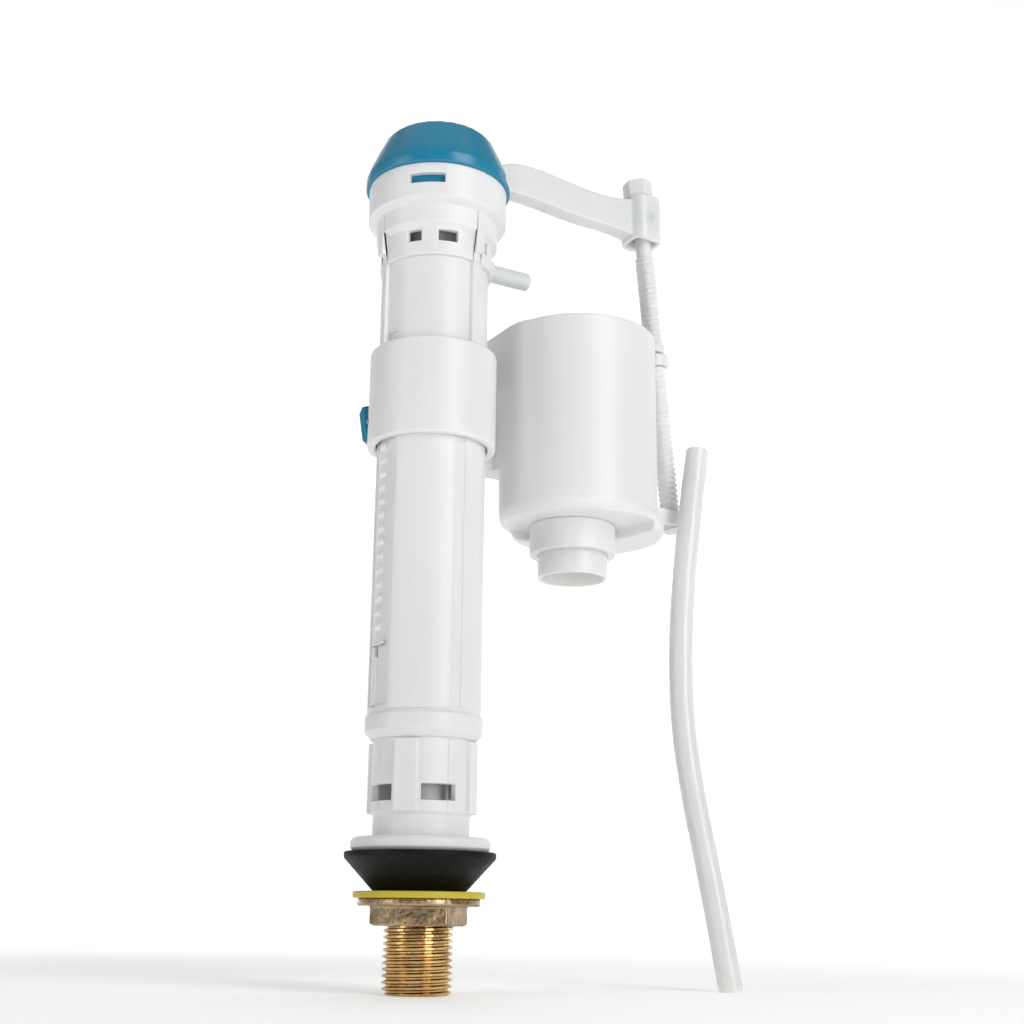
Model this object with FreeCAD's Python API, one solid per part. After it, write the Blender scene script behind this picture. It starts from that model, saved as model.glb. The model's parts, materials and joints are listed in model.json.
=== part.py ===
"""Toilet fill valve: bottom inlet, telescopic column, side float on a threaded rod.

Millimetres. +Z runs up the valve's axis, and the origin is on that axis at the lower end of the
threaded tail. +X points from the column towards the float, and the lever turns about Y.
"""
import FreeCAD, Part
import math
import os

from FreeCAD import Vector

OVERCUT = 1.0               # how far a cutting shape runs past what it cuts
RUNNING_GAP = 0.06          # radial clearance between pieces that move on each other
FITTED_GAP = 0.02           # radial clearance between pieces that are fixed together

# ---- threaded tail and its clamping parts ----
THREAD_R = 10.48            # G 1/2 crest radius
THREAD_ROOT_R = 9.3
SHANK_CREST_R = 10.30       # lower crests inside the nut and washers
FREE_THREAD_TOP = 19.0      # the supply hose's nut runs up to here
THREAD_PITCH = 1.814
THREAD_CREST = 0.6
TAIL_BORE_R = 7.0
TAIL_HEAD_R = 12.6
TAIL_HEAD_LOW = 46.2
TAIL_HEAD_TOP = 50.2
NUT_ACROSS_FLATS = 25.5
NUT_TURN = 38.0             # degrees from +X to the hexagon's first corner
NUT_HEX_LOW = 19.6
NUT_FLANGE_LOW = 25.3
NUT_FLANGE_R = 18.3
NUT_CHAMFER = 1.2
NUT_BORE_R = THREAD_R + RUNNING_GAP
WASHER_LOW = 27.5
WASHER_TOP = 29.5
WASHER_R = 19.9
WASHER_BORE_R = THREAD_R + 0.07
CONE_TOP = 41.0
CONE_LIP = 1.8
CONE_TOP_R = 23.0
CONE_LOW_R = 14.0
SEAL_BORE_R = THREAD_R + 0.05
FILTER_LOW = 2.0
FILTER_TOP = 20.0
FILTER_WALL = 0.9
FILTER_SLOTS = 12
FILTER_SLOT = 1.2
RESTRICTOR_LOW = 22.0
RESTRICTOR_TOP = 24.0
RESTRICTOR_BORE_R = 2.0

# ---- lower body ----
FLANGE_TOP = 45.2
FLANGE_R = 21.2
FLANGE_EDGE = 1.0
NECK_R = 14.75
CAGE_LOW = 51.5
CAGE_R = 15.5
CAGE_WALL = 1.8
CAGE_TOP = 130.0
CAGE_STEP = 0.7
CAGE_RIB_TOP = 73.6
CAGE_RIB_HALF = 3.6
CAGE_RIB_ANGLES = (-135, -45, 45, 135)
THIN_RIB_HALF = 0.6
THIN_RIB_ANGLES = (-175, -85, 5, 95)
WINDOW_LOW = 55.6
WINDOW_TOP = 60.4
WIDE_WINDOWS = (-97, -7, 83, 173)           # their middles, degrees
NARROW_WINDOWS = (-162, 72)
WIDE_WINDOW_HALF = 21.0
NARROW_WINDOW_HALF = 9.0
RISER_R = 8.0
RISER_BORE_R = 6.4
RISER_TOP = 190.0
RISER_FOOT = 2.2
RISER_LAND = 16.0
RING_GROOVE_R = 7.3
RING_GROOVE_HALF = 1.1
RING_HALF = 1.0
RING_HEIGHTS = (RISER_TOP - 5.0, RISER_TOP - 11.0)

# ---- column ----
SLEEVE_R = 17.65
SLEEVE_BORE_R = 15.58
SLEEVE_LOW = 76.5
SLEEVE_FOOT = 74.2
SLEEVE_TOP = 230.0
BEAD_R = 18.3
BEAD_TOP = 81.8
PANEL_R = 18.0
PANEL_TOP = 200.0
PANELS = ((-155.0, -91.0), (-79.5, -63.0))  # start and end, degrees
RIB_ANGLES = (180.0, -72.0, 72.0)
RIB_R = 19.15
RIB_HALF = 1.7
RIB_LOW = 201.2
RACK_PITCH = 4.5
RACK_TOOTH_WIDTH = 4.2
RACK_LOW = 107.0
RACK_TOP = 205.0
RACK_DEPTH = 0.9
RACK_ANGLE = 180.0
RACK_HALF = 23.0
BACK_RACK_ANGLE = 140.0
BACK_RACK_HALF = 14.0
STOP_LOW = 98.8
STOP_RECESS_TOP = 102.5
STOP_TOP = 103.4
INNER_TUBE_R = 11.0
INNER_TUBE_BORE_R = 8.6
INNER_TUBE_LOW = 135.0
TIER3_R = 18.8
TIER3_TOP = 241.0
TIER2_R = 20.5
TIER2_TOP = 248.6
HEAD_R = 23.4
HEAD_TOP = 260.5
HEAD_FLOOR_LOW = 245.5
HEAD_FLOOR_TOP = 250.0
HEAD_BORE_R = 21.2
HEAD_WALL = 2.0
SHELF_TOP = HEAD_FLOOR_TOP + 2.4
SHELF_R = 16.0
SHELF_OUTER_R = 19.1
FLOW_HOLES = 6
FLOW_HOLE_R = 1.9
FLOW_HOLE_AT = 13.5
TIER_WINDOW_LOW = 234.8
TIER_WINDOW_TOP = 238.8
TIER_WINDOWS = ((140, 7.5), (105, 10.0), (58, 6.0))     # middle and half width, both sides
HEAD_WINDOW_LOW = 253.4
HEAD_WINDOW_TOP = 256.8
HEAD_WINDOW_ANGLE = 126.0
HEAD_WINDOW_HALF = 15.0

# ---- diaphragm and pilot ----
SEAT_TOP = 251.2
SEAT_BORE_R = 6.5
DIAPHRAGM_R = 18.8
DIAPHRAGM_TOP = SHELF_TOP + 1.2
INSERT_R = 3.95
INSERT_LOW = 252.2
INSERT_STEP = 253.7
INSERT_CAP_R = 6.0
INSERT_TOP = 255.2
COVER_R = 18.9
COVER_INNER_R = 16.0
COVER_TOP = 259.4
COVER_CEILING = 257.4
COVER_BOSS_R = 2.6
COVER_BOSS_TOP = 262.0
PILOT_R = 1.2
PILOT_LOW = 259.0
PILOT_TOP = 267.1

# ---- cap ----
CAP_R = 24.6
CAP_TOP_R = 17.5
CAP_TOP = 279.6
CAP_WALL = 1.5
CAP_SKIRT_LOW = 252.8
CAP_CUT_X = 16.5            # cut away beyond here, where the lever leaves
CAP_CUT_LOW = 262.5

# ---- refill nozzle ----
NOZZLE_Z = 236.6
NOZZLE_R = 3.1
NOZZLE_ROOT_R = 3.4
NOZZLE_FLANGE_R = 4.5
NOZZLE_BORE_R = 1.9
NOZZLE_TIP = 36.0
NOZZLE_ROUND = 1.1

# ---- lever ----
PIVOT_X = 12.0
PIVOT_Z = 270.5
PIVOT_PIN_R = 1.25
PIVOT_PIN_HALF = 6.4
BRACKET_LOW = 259.4
BRACKET_TOP = 260.9
BRACKET_R = 15.5
CHEEK_INNER = 4.3
CHEEK_HALF = 4.0
CHEEK_RISE = 3.2            # above the pivot
ARM_HALF_WIDTH = 3.5
ARM_HEEL_X = -4.0
ARM_KNEE_X = 8.0            # the heel's straight sides end here
ARM_HEEL_LOW = 267.2
ARM_HEEL_TOP = 272.0
HOUSING_X = 84.9
HOUSING_HALF = 6.6
HOUSING_CORNER = 5.0
HOUSING_LOW = 263.6
HOUSING_TOP = 281.4
CAVITY_HALF_X = 4.8
CAVITY_HALF_Y = 4.1

# ---- adjusting rod: leans outwards towards its lower end ----
ROD_TOP_Z = 272.5
ROD_SLOPE = 0.0983
ROD_LEAN = math.degrees(math.atan(ROD_SLOPE))
ROD_CREST_R = 3.5
ROD_CORE_R = 2.9
ROD_PITCH = 2.0
ROD_THREAD_START = -14.0    # along the rod from its swivel
ROD_THREAD_END = -119.0
ROD_NECK_TOP = 9.6
KNOB_TOP = 16.0
KNOB_R = 5.6
KNOB_TURN = 20.0            # degrees
SWIVEL_R = 4.6
SWIVEL_HALF = 3.9
TRUNNION_R = 1.9
TRUNNION_HALF = 5.8
NUT_R = 4.9
NUT_HEIGHT = 4.2
NUT_BELOW_FORK = 0.6

# ---- float chamber and float ----
CUP_X = 56.8                # the cup's large round
CUP_R = 27.2
CUP_CORNER_X = 41.5         # its two small rounds on the column's side
CUP_CORNER_Y = 2.0
CUP_CORNER_R = 13.0
CUP_FLAT_X = CUP_CORNER_X - CUP_CORNER_R
CUP_FOOT_ROUND = 4.0
CHAMBER_LOW = 150.5
CHAMBER_TOP = 218.5
CHAMBER_WALL = 2.0
CHAMBER_FLOOR = 2.5
COLLAR_R = 20.9
COLLAR_BORE_R = 18.15
COLLAR_LOW = 168.4
COLLAR_TOP = 200.7
WEB_NEAR = 9.0
WEB_FAR = 17.0
SUMP_LOW = 147.3
SUMP_R = 26.3
SUMP_X = 60.5
SUMP_ROUND = 2.6
SUMP_EDGE = [(74, -40), (71.5, -11), (66, 5), (48, 14), (25, 12), (10, -40)]
OUTLET_X = 54.5
OUTLET_HOLE_R = 7.5
OUTLET_COLLAR_R = 14.6
OUTLET_COLLAR_LOW = 140.3
OUTLET_TUBE_R = 11.8
OUTLET_TUBE_BORE_R = 10.6
OUTLET_TUBE_LOW = 132.3
SPIDER_LOW = 143.4
SPIDER_TOP = 145.0
SPIDER_R = 3.6
SPIDER_BORE_R = 2.2
SPOKE_HALF = 0.8
DISC_R = 9.6
DISC_TOP = 146.2
DISC_STEM_R = 2.0
DISC_STEM_LOW = 140.0
FLOAT_GAP = 2.8             # from the cup's outside to the float's
FLOAT_WALL = 1.6
FLOAT_LOW = 157.0
FLOAT_TOP = 212.0
FLOAT_ROUND = 2.5
POST_X = 64.0
POST_END_X = 76.0
POST_WALL_X = 3.0
POST_WALL_Y = 1.5
FORK_LOW = 220.5
FORK_TOP = 223.5
FORK_GAP = 3.65
FORK_HALF = 5.0
FORK_PAST_ROD = 1.0
GUIDE_LOW = 156.0
GUIDE_TOP = 161.5
GUIDE_PAST_ROD = 5.1

# ---- latch ----
LATCH_ANGLE = 140.0
LATCH_LOW = 170.8
LATCH_TOP = 183.6
LATCH_R = 23.2
LATCH_INNER_R = 18.8
LATCH_HALF = 5.0
LATCH_CHAMFER = 1.6
LATCH_PIN_AT = (19.6, 177.2)                # radius and height
LATCH_PIN_R = 0.8
LATCH_PIN_HALF = 7.3
LATCH_PRESSED = 9.0         # degrees the pad is rocked by, which lifts its tooth out of the rack
LATCH_WINDOW_GAP = 0.3
TOOTH_HALF = 1.8
TOOTH = [(17.0, 181.8), (19.2, 181.1), (19.2, 183.4), (17.0, 182.9)]

# ---- loose refill hose: its centre line, top end first ----
HOSE_R = 4.0
HOSE_BORE_R = 2.7
SETBACK = 0.45              # share of the shorter run that each arc takes
HOSE_ROUTE = [
    (100.4, -10.6, 182.5),
    (95.9, -12.4, 163.0),
    (92.9, -12.0, 141.0),
    (90.9, -11.0, 114.0),
    (90.9, -10.9, 87.0),
    (93.4, -12.4, 63.0),
    (97.0, -14.5, 41.0),
    (100.2, -16.3, 20.0),
    (103.0, -18.0, 0.0),
]


def cylinder(radius, low, high, x=0.0, y=0.0):
    return Part.makeCylinder(radius, high - low, Vector(x, y, low))


def ring(outer, inner, low, high, x=0.0, y=0.0):
    return cylinder(outer, low, high, x, y).cut(cylinder(inner, low - OVERCUT, high + OVERCUT, x, y))


def rod_along_x(radius, x0, x1, z):
    return Part.makeCylinder(radius, x1 - x0, Vector(x0, 0, z), Vector(1, 0, 0))


def rod_along_y(radius, half, x, z):
    return Part.makeCylinder(radius, 2 * half, Vector(x, -half, z), Vector(0, 1, 0))


def box(x0, x1, y0, y1, z0, z1):
    return Part.makeBox(x1 - x0, y1 - y0, z1 - z0, Vector(x0, y0, z0))


def fin(r0, r1, half, z0, z1):
    """Upright plate on the +X side, between two radii."""
    return box(r0, r1, -half, half, z0, z1)


def lathe(profile):
    """Turn a closed (radius, z) outline about the Z axis."""
    points = [Vector(r, 0, z) for r, z in profile]
    face = Part.Face(Part.makePolygon(points + points[:1]))
    return face.revolve(Vector(0, 0, 0), Vector(0, 0, 1), 360)


def prism(outline, low, high):
    points = [Vector(x, y, low) for x, y in outline]
    face = Part.Face(Part.makePolygon(points + points[:1]))
    return face.extrude(Vector(0, 0, high - low))


def hexagon(corner_r, turn, low, high):
    angles = [math.radians(60 * k + turn) for k in range(6)]
    return prism([(corner_r * math.cos(a), corner_r * math.sin(a)) for a in angles], low, high)


def side_plate(outline, half):
    """Extrude an (x, z) outline from -half to +half along Y."""
    points = [Vector(x, -half, z) for x, z in outline]
    face = Part.Face(Part.makePolygon(points + points[:1]))
    return face.extrude(Vector(0, 2 * half, 0))


def turned(shape, degrees):
    copy = shape.copy()
    copy.rotate(Vector(0, 0, 0), Vector(0, 0, 1), degrees)
    return copy


def sector(outer, inner, start, end, low, high):
    """Part of a ring between two angles about the Z axis."""
    wedge = Part.makeCylinder(outer, high - low, Vector(0, 0, low), Vector(0, 0, 1), end - start)
    return turned(wedge, start).cut(cylinder(inner, low - OVERCUT, high + OVERCUT))


def window(outer, inner, middle, half, low, high):
    """Cutting shape for an opening in a round wall."""
    return sector(outer + OVERCUT, inner - OVERCUT, middle - half, middle + half, low, high)


def edges_at_foot(shape, low):
    return [e for e in shape.Edges if e.BoundBox.ZMax < low + 0.01]


def edges_at_top(shape, top):
    return [e for e in shape.Edges if e.BoundBox.ZMin > top - 0.01]


def edges_at_tip(shape, tip):
    return [e for e in shape.Edges if e.BoundBox.XMin > tip - 0.01]


def rounded_square(half, corner, low, high, x):
    """Upright block with round corners, centred on (x, 0)."""
    inner = half - corner
    block = box(x - half, x + half, -inner, inner, low, high)
    block = block.fuse(box(x - inner, x + inner, -half, half, low, high))
    for sign_x in (-1, 1):
        for sign_y in (-1, 1):
            block = block.fuse(cylinder(corner, low, high, x + sign_x * inner, sign_y * inner))
    return block.removeSplitter()


def cup_section(inset, low, high):
    """Round cup with a flat on the column's side: a large circle hulled with two small ones."""
    large = CUP_R - inset
    small = CUP_CORNER_R - inset
    reach = math.hypot(CUP_X - CUP_CORNER_X, CUP_CORNER_Y)
    normal = math.atan2(CUP_CORNER_Y, CUP_CORNER_X - CUP_X) - math.acos((large - small) / reach)

    def on_circle(x, y, radius, angle):
        return Vector(x + radius * math.cos(angle), y + radius * math.sin(angle), low)

    def other_side(point):
        return Vector(point.x, -point.y, point.z)

    round_end = on_circle(CUP_X, 0, large, normal)
    corner_start = on_circle(CUP_CORNER_X, CUP_CORNER_Y, small, normal)
    corner_middle = on_circle(CUP_CORNER_X, CUP_CORNER_Y, small, (normal + math.pi) / 2)
    corner_end = on_circle(CUP_CORNER_X, CUP_CORNER_Y, small, math.pi)
    outline = [
        Part.Arc(other_side(round_end), Vector(CUP_X + large, 0, low), round_end),
        Part.LineSegment(round_end, corner_start),
        Part.Arc(corner_start, corner_middle, corner_end),
        Part.LineSegment(corner_end, other_side(corner_end)),
        Part.Arc(other_side(corner_end), other_side(corner_middle), other_side(corner_start)),
        Part.LineSegment(other_side(corner_start), other_side(round_end)),
    ]
    face = Part.Face(Part.Wire([piece.toShape() for piece in outline]))
    return face.extrude(Vector(0, 0, high - low))


def rod_x(z):
    return HOUSING_X + (ROD_TOP_Z - z) * ROD_SLOPE


def along_rod(shape):
    """Move a shape made about the Z axis on to the leaning rod's axis."""
    copy = shape.copy()
    copy.rotate(Vector(0, 0, 0), Vector(0, 1, 0), -ROD_LEAN)
    copy.translate(Vector(HOUSING_X, 0, ROD_TOP_Z))
    return copy


def save(shape, name):
    solid = shape.removeSplitter() if shape.ShapeType != "Solid" else shape
    solids = solid.Solids
    print(f"{name:18s} solids {len(solids)} valid {solid.isValid()} volume {solid.Volume:9.1f}")
    kept = solids[0] if len(solids) == 1 else Part.makeCompound(solids)
    kept.exportStep(f"parts/{name}.step")


# ---------------------------------------------------------------- tail
def tail_shank():
    """Bored tail with a ring for each turn of its thread, a plain neck and a head."""
    profile = [(TAIL_BORE_R, 0)]
    groove = (THREAD_PITCH - THREAD_CREST) / 2
    z = 0.0
    while z + THREAD_PITCH < CONE_TOP:
        crest_r = THREAD_R if z < FREE_THREAD_TOP else SHANK_CREST_R
        profile.append((crest_r, z))
        profile.append((crest_r, z + THREAD_CREST))
        profile.append((THREAD_ROOT_R, z + THREAD_CREST + groove))
        z += THREAD_PITCH
    profile += [(SHANK_CREST_R, z), (SHANK_CREST_R, TAIL_HEAD_LOW), (TAIL_HEAD_R, TAIL_HEAD_LOW)]
    profile += [(TAIL_HEAD_R, TAIL_HEAD_TOP), (TAIL_BORE_R, TAIL_HEAD_TOP)]
    return lathe(profile)


def back_nut():
    """Chamfered hexagon under a round flange."""
    corner_r = NUT_ACROSS_FLATS / 2 / math.cos(math.pi / 6)
    top = NUT_FLANGE_LOW + OVERCUT
    body = hexagon(corner_r, NUT_TURN, NUT_HEX_LOW, NUT_FLANGE_LOW + OVERCUT / 2)
    wide_r = corner_r + NUT_CHAMFER
    cone = lathe([(0, NUT_HEX_LOW), (corner_r - NUT_CHAMFER, NUT_HEX_LOW), (wide_r, NUT_HEX_LOW + NUT_CHAMFER),
                  (wide_r, top), (0, top)])
    nut = body.common(cone).fuse(cylinder(NUT_FLANGE_R, NUT_FLANGE_LOW, WASHER_LOW - FITTED_GAP))
    return nut.cut(cylinder(NUT_BORE_R, NUT_HEX_LOW - OVERCUT, WASHER_LOW + OVERCUT))


def yellow_washer():
    return ring(WASHER_R, WASHER_BORE_R, WASHER_LOW, WASHER_TOP - FITTED_GAP)


def cone_washer():
    return lathe([(SEAL_BORE_R, WASHER_TOP), (CONE_LOW_R, WASHER_TOP), (CONE_TOP_R, CONE_TOP - CONE_LIP),
                  (CONE_TOP_R, CONE_TOP), (SEAL_BORE_R, CONE_TOP)])


def inlet_filter():
    """Basket with slots round its wall and across its floor."""
    outer = TAIL_BORE_R - FITTED_GAP
    hollow = cylinder(outer - FILTER_WALL, FILTER_LOW + FILTER_WALL, FILTER_TOP + OVERCUT)
    basket = cylinder(outer, FILTER_LOW, FILTER_TOP).cut(hollow)
    margin = 3.0
    slot = fin(outer - 2 * FILTER_WALL, outer + OVERCUT, FILTER_SLOT / 2, FILTER_LOW + margin,
               FILTER_TOP - margin)
    for k in range(FILTER_SLOTS):
        basket = basket.cut(turned(slot, 360 / FILTER_SLOTS * k))
    floor_slot = 0.4
    for k in range(-2, 3):
        basket = basket.cut(box(-4, 4, 2 * k - floor_slot, 2 * k + floor_slot, FILTER_LOW - OVERCUT,
                                FILTER_LOW + FILTER_WALL + OVERCUT))
    return basket


def flow_restrictor():
    return ring(TAIL_BORE_R - FITTED_GAP, RESTRICTOR_BORE_R, RESTRICTOR_LOW, RESTRICTOR_TOP)


def shank_gasket():
    return ring(TAIL_HEAD_R, SEAL_BORE_R, FLANGE_TOP, TAIL_HEAD_LOW)


def lower_body():
    """Flange, neck and long cage in one moulding, with ribs and windows at the cage's foot."""
    inner = NECK_R - CAGE_WALL
    body = lathe([
        (SEAL_BORE_R, CONE_TOP), (FLANGE_R - FLANGE_EDGE, CONE_TOP), (FLANGE_R, CONE_TOP + FLANGE_EDGE),
        (FLANGE_R, FLANGE_TOP - FLANGE_EDGE), (FLANGE_R - FLANGE_EDGE, FLANGE_TOP), (NECK_R, FLANGE_TOP),
        (NECK_R, CAGE_LOW), (NECK_R + CAGE_STEP, CAGE_LOW + CAGE_STEP), (CAGE_R, CAGE_RIB_TOP),
        (CAGE_R, CAGE_TOP), (CAGE_R - CAGE_WALL, CAGE_TOP), (CAGE_R - CAGE_WALL, CAGE_RIB_TOP),
        (inner, CAGE_LOW + FLANGE_EDGE),
        (inner, FLANGE_TOP), (SEAL_BORE_R, FLANGE_TOP)])
    rib = fin(CAGE_R - 1.0, CAGE_R + 1.1, CAGE_RIB_HALF, CAGE_LOW + CAGE_STEP, CAGE_RIB_TOP)
    thin_rib = fin(CAGE_R - 1.0, CAGE_R + 0.5, THIN_RIB_HALF, CAGE_LOW + CAGE_STEP, CAGE_RIB_TOP)
    for angle in CAGE_RIB_ANGLES:
        body = body.fuse(turned(rib, angle))
    for angle in THIN_RIB_ANGLES:
        body = body.fuse(turned(thin_rib, angle))
    for middle in WIDE_WINDOWS:
        body = body.cut(window(CAGE_R + 1.1, inner, middle, WIDE_WINDOW_HALF, WINDOW_LOW, WINDOW_TOP))
    for middle in NARROW_WINDOWS:
        body = body.cut(window(CAGE_R + 1.1, inner, middle, NARROW_WINDOW_HALF, WINDOW_LOW, WINDOW_TOP))
    return body


def riser_tube():
    """Tube on a foot inside the cage, with a thicker land that carries two rings."""
    tube = ring(RISER_R, RISER_BORE_R, TAIL_HEAD_TOP, RISER_TOP)
    foot = ring(NECK_R - CAGE_WALL, RISER_BORE_R, TAIL_HEAD_TOP, TAIL_HEAD_TOP + RISER_FOOT)
    land = ring(INNER_TUBE_BORE_R - RUNNING_GAP, RISER_BORE_R, RISER_TOP - RISER_LAND, RISER_TOP)
    tube = tube.fuse(foot).fuse(land)
    for z in RING_HEIGHTS:
        tube = tube.cut(ring(INNER_TUBE_R, RING_GROOVE_R, z - RING_GROOVE_HALF, z + RING_GROOVE_HALF))
    return tube


def riser_orings():
    return Part.makeCompound([
        ring(INNER_TUBE_BORE_R - FITTED_GAP, RING_GROOVE_R + FITTED_GAP, z - RING_HALF, z + RING_HALF)
        for z in RING_HEIGHTS])


# ---------------------------------------------------------------- column
def rack_channel(angle, half, top):
    return window(SLEEVE_R, SLEEVE_R - RACK_DEPTH + OVERCUT, angle - 2, half, BEAD_TOP + 2, top)


def rack_teeth(angle):
    """Blunt teeth with a sloping underside, from the rack's foot to its top."""
    rise = 1.2
    crest = 1.0
    fall = 0.4
    root = SLEEVE_R - 1.3
    tip = SLEEVE_R - 0.1
    teeth = []
    z = RACK_LOW
    while z + RACK_PITCH <= RACK_TOP:
        outline = [(root, z), (tip, z + rise), (tip, z + rise + crest), (root, z + rise + crest + fall)]
        teeth.append(turned(side_plate(outline, RACK_TOOTH_WIDTH / 2), angle))
        z += RACK_PITCH
    return teeth


def rack_stop():
    """Guide rib and ledge below the rack."""
    outer = SLEEVE_R - 0.05
    rib = fin(SLEEVE_R - 1.5, outer, 0.9, BEAD_TOP, STOP_LOW)
    ledge = box(SLEEVE_R - 1.5, outer, -2.4, 4.6, STOP_RECESS_TOP + 0.1, STOP_TOP)
    return turned(rib.fuse(ledge), RACK_ANGLE)


def outer_sleeve():
    """Long tube with a bead at its foot, two raised front panels, two racks and three ribs."""
    sleeve = lathe([(SLEEVE_BORE_R, SLEEVE_FOOT), (SLEEVE_BORE_R + 0.7, SLEEVE_FOOT), (BEAD_R, SLEEVE_LOW),
                    (BEAD_R, BEAD_TOP - 0.6), (SLEEVE_R, BEAD_TOP), (SLEEVE_R, SLEEVE_TOP),
                    (SLEEVE_BORE_R, SLEEVE_TOP)])
    for start, end in PANELS:
        sleeve = sleeve.fuse(sector(PANEL_R, SLEEVE_R - 1, start, end, BEAD_TOP + 0.6, PANEL_TOP))
    sleeve = sleeve.cut(rack_channel(RACK_ANGLE, RACK_HALF, RACK_TOP))
    sleeve = sleeve.cut(rack_channel(BACK_RACK_ANGLE, BACK_RACK_HALF, RACK_TOP))
    sleeve = sleeve.multiFuse(rack_teeth(RACK_ANGLE) + rack_teeth(BACK_RACK_ANGLE) + [rack_stop()])
    for angle in RIB_ANGLES:
        sleeve = sleeve.fuse(turned(fin(SLEEVE_R - 1, RIB_R, RIB_HALF, RIB_LOW, SLEEVE_TOP), angle))
    recess = box(SLEEVE_BORE_R - OVERCUT, SLEEVE_R + OVERCUT, -2.2, 0.6, STOP_LOW + 0.2, STOP_RECESS_TOP)
    return sleeve.cut(turned(recess, RACK_ANGLE))


def inner_tube():
    """Tube that slides over the riser, with a lead-in at its mouth."""
    tube = ring(INNER_TUBE_R, INNER_TUBE_BORE_R, INNER_TUBE_LOW, HEAD_FLOOR_TOP)
    inside = INNER_TUBE_BORE_R - 0.5
    return tube.cut(lathe([(inside, INNER_TUBE_LOW), (INNER_TUBE_BORE_R + 1.0, INNER_TUBE_LOW),
                           (inside, INNER_TUBE_LOW + 1.5)]))


def head_body():
    """Three round tiers with a floor for the diaphragm, ribs, windows and a hole for the nozzle."""
    inner = TIER3_R - HEAD_WALL
    shell = lathe([
        (inner, SLEEVE_TOP), (TIER3_R, SLEEVE_TOP), (TIER3_R, TIER3_TOP - 1.5), (TIER2_R, TIER3_TOP),
        (TIER2_R, TIER2_TOP - 1.4), (HEAD_R, TIER2_TOP), (HEAD_R, HEAD_TOP), (HEAD_BORE_R, HEAD_TOP),
        (HEAD_BORE_R, HEAD_FLOOR_TOP), (SHELF_OUTER_R, HEAD_FLOOR_TOP), (SHELF_OUTER_R, SHELF_TOP),
        (SHELF_R, SHELF_TOP), (SHELF_R, HEAD_FLOOR_TOP), (INNER_TUBE_R, HEAD_FLOOR_TOP),
        (INNER_TUBE_R, HEAD_FLOOR_LOW), (inner, HEAD_FLOOR_LOW)])
    for k in range(FLOW_HOLES):
        angle = 2 * math.pi * k / FLOW_HOLES
        shell = shell.cut(cylinder(FLOW_HOLE_R, HEAD_FLOOR_LOW - OVERCUT, HEAD_FLOOR_TOP + OVERCUT,
                                   FLOW_HOLE_AT * math.cos(angle), FLOW_HOLE_AT * math.sin(angle)))
    rib = fin(TIER3_R - 1, RIB_R, RIB_HALF, SLEEVE_TOP, TIER3_TOP)
    rib = rib.fuse(fin(TIER3_R - 1, TIER2_R + 0.5, RIB_HALF, SLEEVE_TOP + 3, TIER2_TOP - 0.5))
    for angle in RIB_ANGLES:
        shell = shell.fuse(turned(rib, angle))
    for side in (-1, 1):
        for middle, half in TIER_WINDOWS:
            shell = shell.cut(window(TIER2_R, inner, side * middle, half, TIER_WINDOW_LOW, TIER_WINDOW_TOP))
        shell = shell.cut(window(HEAD_R, HEAD_BORE_R, side * HEAD_WINDOW_ANGLE, HEAD_WINDOW_HALF,
                                 HEAD_WINDOW_LOW, HEAD_WINDOW_TOP))
    return shell.cut(rod_along_x(NOZZLE_ROOT_R + FITTED_GAP, inner - OVERCUT, HEAD_R, NOZZLE_Z))


def refill_nozzle():
    """Bored nozzle with a round tip, a thicker root in the head's wall and a flange outside it."""
    root = TIER3_R - HEAD_WALL
    root_end = TIER3_R + 1.5
    spout = rod_along_x(NOZZLE_R, root, NOZZLE_TIP, NOZZLE_Z)
    spout = spout.makeFillet(NOZZLE_ROUND, edges_at_tip(spout, NOZZLE_TIP))
    flange = rod_along_x(NOZZLE_FLANGE_R, TIER3_R + 0.1, root_end, NOZZLE_Z)
    head_step = box(TIER3_R, root_end + OVERCUT, -NOZZLE_FLANGE_R, NOZZLE_FLANGE_R, TIER3_TOP - 1.7,
                    TIER3_TOP + NOZZLE_FLANGE_R)
    thick = rod_along_x(NOZZLE_ROOT_R, root, root_end, NOZZLE_Z)
    bore = rod_along_x(NOZZLE_BORE_R, root - OVERCUT, NOZZLE_TIP + OVERCUT, NOZZLE_Z)
    return spout.fuse(flange.cut(head_step)).fuse(thick).cut(bore)


# ---------------------------------------------------------------- diaphragm, pilot and cap
def valve_seat():
    return ring(INNER_TUBE_R - 0.1, SEAT_BORE_R, HEAD_FLOOR_TOP, SEAT_TOP)


def diaphragm():
    return ring(DIAPHRAGM_R, INSERT_R + 0.05, SHELF_TOP, DIAPHRAGM_TOP)


def diaphragm_insert():
    return cylinder(INSERT_R, INSERT_LOW, INSERT_STEP).fuse(cylinder(INSERT_CAP_R, INSERT_STEP, INSERT_TOP))


def pilot_cover():
    """Round cover over the pressure chamber, with a boss that guides the pilot pin."""
    cover = lathe([(COVER_INNER_R, DIAPHRAGM_TOP), (COVER_R, DIAPHRAGM_TOP), (COVER_R, COVER_TOP),
                   (COVER_BOSS_R, COVER_TOP), (COVER_BOSS_R, COVER_BOSS_TOP), (0, COVER_BOSS_TOP),
                   (0, COVER_CEILING), (COVER_INNER_R, COVER_CEILING)])
    return cover.cut(cylinder(PILOT_R + 0.08, DIAPHRAGM_TOP, COVER_BOSS_TOP + OVERCUT))


def pilot_pin():
    return cylinder(PILOT_R, PILOT_LOW, PILOT_TOP)


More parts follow.
